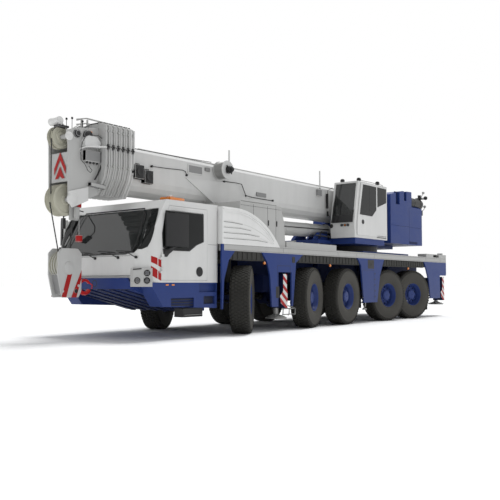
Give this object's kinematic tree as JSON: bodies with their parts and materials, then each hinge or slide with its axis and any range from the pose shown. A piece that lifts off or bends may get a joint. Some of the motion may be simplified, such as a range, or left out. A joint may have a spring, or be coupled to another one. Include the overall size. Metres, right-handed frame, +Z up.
{
  "type": "mobile crane",
  "caption": "All-terrain telescopic mobile crane in road trim: boom stowed over the driver's cab, steered wheels, outriggers in, slewing upper with operator's cab and counterweight.",
  "frame": {"origin": "bottom centre of the bounding box, on the ground under the middle of the machine", "axes": "+X forward towards the boom head, +Y to the crane's left, +Z up"},
  "size_m": [15.0065, 3.5776, 4.33],
  "materials": {
    "white_paint": "gloss",
    "blue_paint": "gloss",
    "chassis_blue": "satin",
    "grey_paint": "satin",
    "dark_metal": "satin",
    "cast_metal": "rough",
    "steel": "polished",
    "tyre_rubber": "matte",
    "dark_plastic": "matte",
    "lamp_plastic": "gloss",
    "sheave_nylon": "satin",
    "dark_glass": "gloss",
    "seat_fabric": "matte"
  },
  "bodies": {
    "chassis": {"chassis_frame": "chassis_blue", "axle_beams": "chassis_blue", "driver_cab": "white_paint", "driver_cab_glass": "dark_glass", "driver_cab_interior": "dark_plastic", "front_bumper": "blue_paint", "engine_hood": "white_paint", "engine": "cast_metal", "deck": "grey_paint", "side_panels": "blue_paint", "mudguards": "dark_plastic", "lamps": "lamp_plastic", "slew_ring": "dark_metal"},
    "upper": {"superstructure": "blue_paint", "operator_cab": "white_paint", "operator_cab_glass": "dark_glass", "operator_cab_seat": "seat_fabric", "counterweight": "blue_paint"},
    "operator_door": {"operator_cab_door": "white_paint"},
    "winch": {"hoist_winch": "dark_metal"},
    "cylinder_barrel": {"luff_barrel": "grey_paint"},
    "cylinder_rod": {"luff_rod": "steel"},
    "boom_0": {"boom_base": "white_paint"},
    "boom_1": {"boom_section_1": "white_paint"},
    "boom_2": {"boom_section_2": "white_paint"},
    "boom_3": {"boom_section_3": "white_paint"},
    "boom_4": {"boom_section_4": "white_paint"},
    "boom_5": {"boom_section_5": "white_paint", "head_sheaves": "sheave_nylon"},
    "hook": {"hook_block": "white_paint"},
    "cab_door_left": {"driver_cab_door_left": "white_paint"},
    "cab_door_right": {"driver_cab_door_right": "white_paint"},
    "knuckle_1_left": {"knuckle_1_left": "chassis_blue"},
    "wheel_1_left": {"wheel_1_left": "tyre_rubber"},
    "knuckle_1_right": {"knuckle_1_right": "chassis_blue"},
    "wheel_1_right": {"wheel_1_right": "tyre_rubber"},
    "knuckle_2_left": {"knuckle_2_left": "chassis_blue"},
    "wheel_2_left": {"wheel_2_left": "tyre_rubber"},
    "knuckle_2_right": {"knuckle_2_right": "chassis_blue"},
    "wheel_2_right": {"wheel_2_right": "tyre_rubber"},
    "knuckle_3_left": {"knuckle_3_left": "chassis_blue"},
    "wheel_3_left": {"wheel_3_left": "tyre_rubber"},
    "knuckle_3_right": {"knuckle_3_right": "chassis_blue"},
    "wheel_3_right": {"wheel_3_right": "tyre_rubber"},
    "knuckle_4_left": {"knuckle_4_left": "chassis_blue"},
    "wheel_4_left": {"wheel_4_left": "tyre_rubber"},
    "knuckle_4_right": {"knuckle_4_right": "chassis_blue"},
    "wheel_4_right": {"wheel_4_right": "tyre_rubber"},
    "knuckle_5_left": {"knuckle_5_left": "chassis_blue"},
    "wheel_5_left": {"wheel_5_left": "tyre_rubber"},
    "knuckle_5_right": {"knuckle_5_right": "chassis_blue"},
    "wheel_5_right": {"wheel_5_right": "tyre_rubber"},
    "beam_front_left": {"outrigger_beam_front_left": "blue_paint"},
    "jack_front_left": {"outrigger_jack_front_left": "steel"},
    "beam_front_right": {"outrigger_beam_front_right": "blue_paint"},
    "jack_front_right": {"outrigger_jack_front_right": "steel"},
    "beam_rear_left": {"outrigger_beam_rear_left": "blue_paint"},
    "jack_rear_left": {"outrigger_jack_rear_left": "steel"},
    "beam_rear_right": {"outrigger_beam_rear_right": "blue_paint"},
    "jack_rear_right": {"outrigger_jack_rear_right": "steel"}
  },
  "joints": [
    {"name": "steer_1_left", "type": "hinge", "parent": "chassis", "child": "knuckle_1_left", "pos_m": [3.38, 1.19, 0.745], "axis": [0, 0, 1], "range_deg": [-69, 3]},
    {"name": "spin_1_left", "type": "hinge", "parent": "knuckle_1_left", "child": "wheel_1_left", "pos_m": [3.38, 1.19, 0.745], "axis": [-0.5446, 0.8387, 0], "continuous": true},
    {"name": "steer_1_right", "type": "hinge", "parent": "chassis", "child": "knuckle_1_right", "pos_m": [3.38, -1.19, 0.745], "axis": [0, 0, 1], "range_deg": [-55.63, 2.43]},
    {"name": "spin_1_right", "type": "hinge", "parent": "knuckle_1_right", "child": "wheel_1_right", "pos_m": [3.38, -1.19, 0.745], "axis": [-0.4478, 0.8942, 0], "continuous": true},
    {"name": "steer_2_left", "type": "hinge", "parent": "chassis", "child": "knuckle_2_left", "pos_m": [0.79, 1.19, 0.745], "axis": [0, 0, 1], "range_deg": [-32.42, 1.42]},
    {"name": "spin_2_left", "type": "hinge", "parent": "knuckle_2_left", "child": "wheel_2_left", "pos_m": [0.79, 1.19, 0.745], "axis": [-0.2672, 0.9636, 0], "continuous": true},
    {"name": "steer_2_right", "type": "hinge", "parent": "chassis", "child": "knuckle_2_right", "pos_m": [0.79, -1.19, 0.745], "axis": [0, 0, 1], "range_deg": [-25.31, 1.11]},
    {"name": "spin_2_right", "type": "hinge", "parent": "knuckle_2_right", "child": "wheel_2_right", "pos_m": [0.79, -1.19, 0.745], "axis": [-0.2096, 0.9778, 0], "continuous": true},
    {"name": "steer_3_left", "type": "hinge", "parent": "chassis", "child": "knuckle_3_left", "pos_m": [-0.91, 1.19, 0.745], "axis": [0, 0, 1], "range_deg": [-9.42, 0.42]},
    {"name": "spin_3_left", "type": "hinge", "parent": "knuckle_3_left", "child": "wheel_3_left", "pos_m": [-0.91, 1.19, 0.745], "axis": [-0.0785, 0.9969, 0], "continuous": true},
    {"name": "steer_3_right", "type": "hinge", "parent": "chassis", "child": "knuckle_3_right", "pos_m": [-0.91, -1.19, 0.745], "axis": [0, 0, 1], "range_deg": [-7.33, 0.33]},
    {"name": "spin_3_right", "type": "hinge", "parent": "knuckle_3_right", "child": "wheel_3_right", "pos_m": [-0.91, -1.19, 0.745], "axis": [-0.061, 0.9981, 0], "continuous": true},
    {"name": "steer_4_left", "type": "hinge", "parent": "chassis", "child": "knuckle_4_left", "pos_m": [-3.33, 1.19, 0.745], "axis": [0, 0, 1], "range_deg": [-1.15, 26.15]},
    {"name": "spin_4_left", "type": "hinge", "parent": "knuckle_4_left", "child": "wheel_4_left", "pos_m": [-3.33, 1.19, 0.745], "axis": [0.2164, 0.9763, 0], "continuous": true},
    {"name": "steer_4_right", "type": "hinge", "parent": "chassis", "child": "knuckle_4_right", "pos_m": [-3.33, -1.19, 0.745], "axis": [0, 0, 1], "range_deg": [-0.89, 20.29]},
    {"name": "spin_4_right", "type": "hinge", "parent": "knuckle_4_right", "child": "wheel_4_right", "pos_m": [-3.33, -1.19, 0.745], "axis": [0.1685, 0.9857, 0], "continuous": true},
    {"name": "steer_5_left", "type": "hinge", "parent": "chassis", "child": "knuckle_5_left", "pos_m": [-5.05, 1.19, 0.745], "axis": [0, 0, 1], "range_deg": [-1.69, 38.69]},
    {"name": "spin_5_left", "type": "hinge", "parent": "knuckle_5_left", "child": "wheel_5_left", "pos_m": [-5.05, 1.19, 0.745], "axis": [0.3173, 0.9483, 0], "continuous": true},
    {"name": "steer_5_right", "type": "hinge", "parent": "chassis", "child": "knuckle_5_right", "pos_m": [-5.05, -1.19, 0.745], "axis": [0, 0, 1], "range_deg": [-1.33, 30.33]},
    {"name": "spin_5_right", "type": "hinge", "parent": "knuckle_5_right", "child": "wheel_5_right", "pos_m": [-5.05, -1.19, 0.745], "axis": [0.2504, 0.9681, 0], "continuous": true},
    {"name": "outrigger_front_left", "type": "slide", "parent": "chassis", "child": "beam_front_left", "axis": [0, 1, 0], "range_m": [0, 1.9]},
    {"name": "jack_front_left", "type": "slide", "parent": "beam_front_left", "child": "jack_front_left", "axis": [0, 0, -1], "range_m": [0, 0.265]},
    {"name": "outrigger_front_right", "type": "slide", "parent": "chassis", "child": "beam_front_right", "axis": [0, -1, 0], "range_m": [0, 1.9]},
    {"name": "jack_front_right", "type": "slide", "parent": "beam_front_right", "child": "jack_front_right", "axis": [0, 0, -1], "range_m": [0, 0.265]},
    {"name": "outrigger_rear_left", "type": "slide", "parent": "chassis", "child": "beam_rear_left", "axis": [0, 1, 0], "range_m": [0, 1.9]},
    {"name": "jack_rear_left", "type": "slide", "parent": "beam_rear_left", "child": "jack_rear_left", "axis": [0, 0, -1], "range_m": [0, 0.375]},
    {"name": "outrigger_rear_right", "type": "slide", "parent": "chassis", "child": "beam_rear_right", "axis": [0, -1, 0], "range_m": [0, 1.9]},
    {"name": "jack_rear_right", "type": "slide", "parent": "beam_rear_right", "child": "jack_rear_right", "axis": [0, 0, -1], "range_m": [0, 0.375]},
    {"name": "door_left", "type": "hinge", "parent": "chassis", "child": "cab_door_left", "pos_m": [5.931, 1.394, 1.5], "axis": [0, 0, 1], "range_deg": [-68, 0]},
    {"name": "door_right", "type": "hinge", "parent": "chassis", "child": "cab_door_right", "pos_m": [5.931, -1.394, 1.5], "axis": [0, 0, 1], "range_deg": [0, 68]},
    {"name": "slew", "type": "hinge", "parent": "chassis", "child": "upper", "pos_m": [-3.45, 0, 2.195], "axis": [0, 0, 1], "continuous": true},
    {"name": "boom_luff", "type": "hinge", "parent": "upper", "child": "boom_0", "pos_m": [-4.9, 0, 3.3], "axis": [0, -1, 0], "range_deg": [0, 80]},
    {"name": "telescope_1", "type": "slide", "parent": "boom_0", "child": "boom_1", "axis": [1, 0, 0], "range_m": [0, 7]},
    {"name": "operator_door_slide", "type": "slide", "parent": "upper", "child": "operator_door", "axis": [-1, 0, 0], "range_m": [0, 0.65]},
    {"name": "winch_turn", "type": "hinge", "parent": "upper", "child": "winch", "pos_m": [-5.68, 0, 2.95], "axis": [0, 1, 0], "continuous": true},
    {"name": "hook_hang", "type": "hinge", "parent": "boom_5", "child": "hook", "pos_m": [7.19, 0, 2.659], "axis": [0, -1, 0], "range_deg": [-70.41, 0]},
    {"name": "telescope_2", "type": "slide", "parent": "boom_1", "child": "boom_2", "axis": [1, 0, 0], "range_m": [0, 7]},
    {"name": "telescope_3", "type": "slide", "parent": "boom_2", "child": "boom_3", "axis": [1, 0, 0], "range_m": [0, 7]},
    {"name": "telescope_4", "type": "slide", "parent": "boom_3", "child": "boom_4", "axis": [1, 0, 0], "range_m": [0, 7]},
    {"name": "telescope_5", "type": "slide", "parent": "boom_4", "child": "boom_5", "axis": [1, 0, 0], "range_m": [0, 7]},
    {"name": "cylinder_tilt", "type": "hinge", "parent": "upper", "child": "cylinder_barrel", "pos_m": [-2.35, 0, 2.62], "axis": [0, -1, 0], "range_deg": [0, 95.97]},
    {"name": "cylinder_stroke", "type": "slide", "parent": "cylinder_barrel", "child": "cylinder_rod", "axis": [0.9999, 0, -0.0165], "range_m": [0, 3.024]}
  ],
  "couplings": [
    {"joint": "steer_1_right", "follows": "steer_1_left", "ratio": 0.8061},
    {"joint": "steer_2_left", "follows": "steer_1_left", "ratio": 0.4697},
    {"joint": "steer_2_right", "follows": "steer_1_left", "ratio": 0.3667},
    {"joint": "steer_3_left", "follows": "steer_1_left", "ratio": 0.1364},
    {"joint": "steer_3_right", "follows": "steer_1_left", "ratio": 0.1061},
    {"joint": "steer_4_left", "follows": "steer_1_left", "ratio": -0.3788},
    {"joint": "steer_4_right", "follows": "steer_1_left", "ratio": -0.2939},
    {"joint": "steer_5_left", "follows": "steer_1_left", "ratio": -0.5606},
    {"joint": "steer_5_right", "follows": "steer_1_left", "ratio": -0.4394},
    {"joint": "telescope_2", "follows": "telescope_1", "ratio": 1},
    {"joint": "telescope_3", "follows": "telescope_1", "ratio": 1},
    {"joint": "telescope_4", "follows": "telescope_1", "ratio": 1},
    {"joint": "telescope_5", "follows": "telescope_1", "ratio": 1},
    {"joint": "cylinder_tilt", "follows": "boom_luff", "ratio": 1.1995},
    {"joint": "cylinder_stroke", "follows": "boom_luff", "m_per_rad": 2.1657},
    {"joint": "hook_hang", "follows": "boom_luff", "ratio": -0.88}
  ]
}
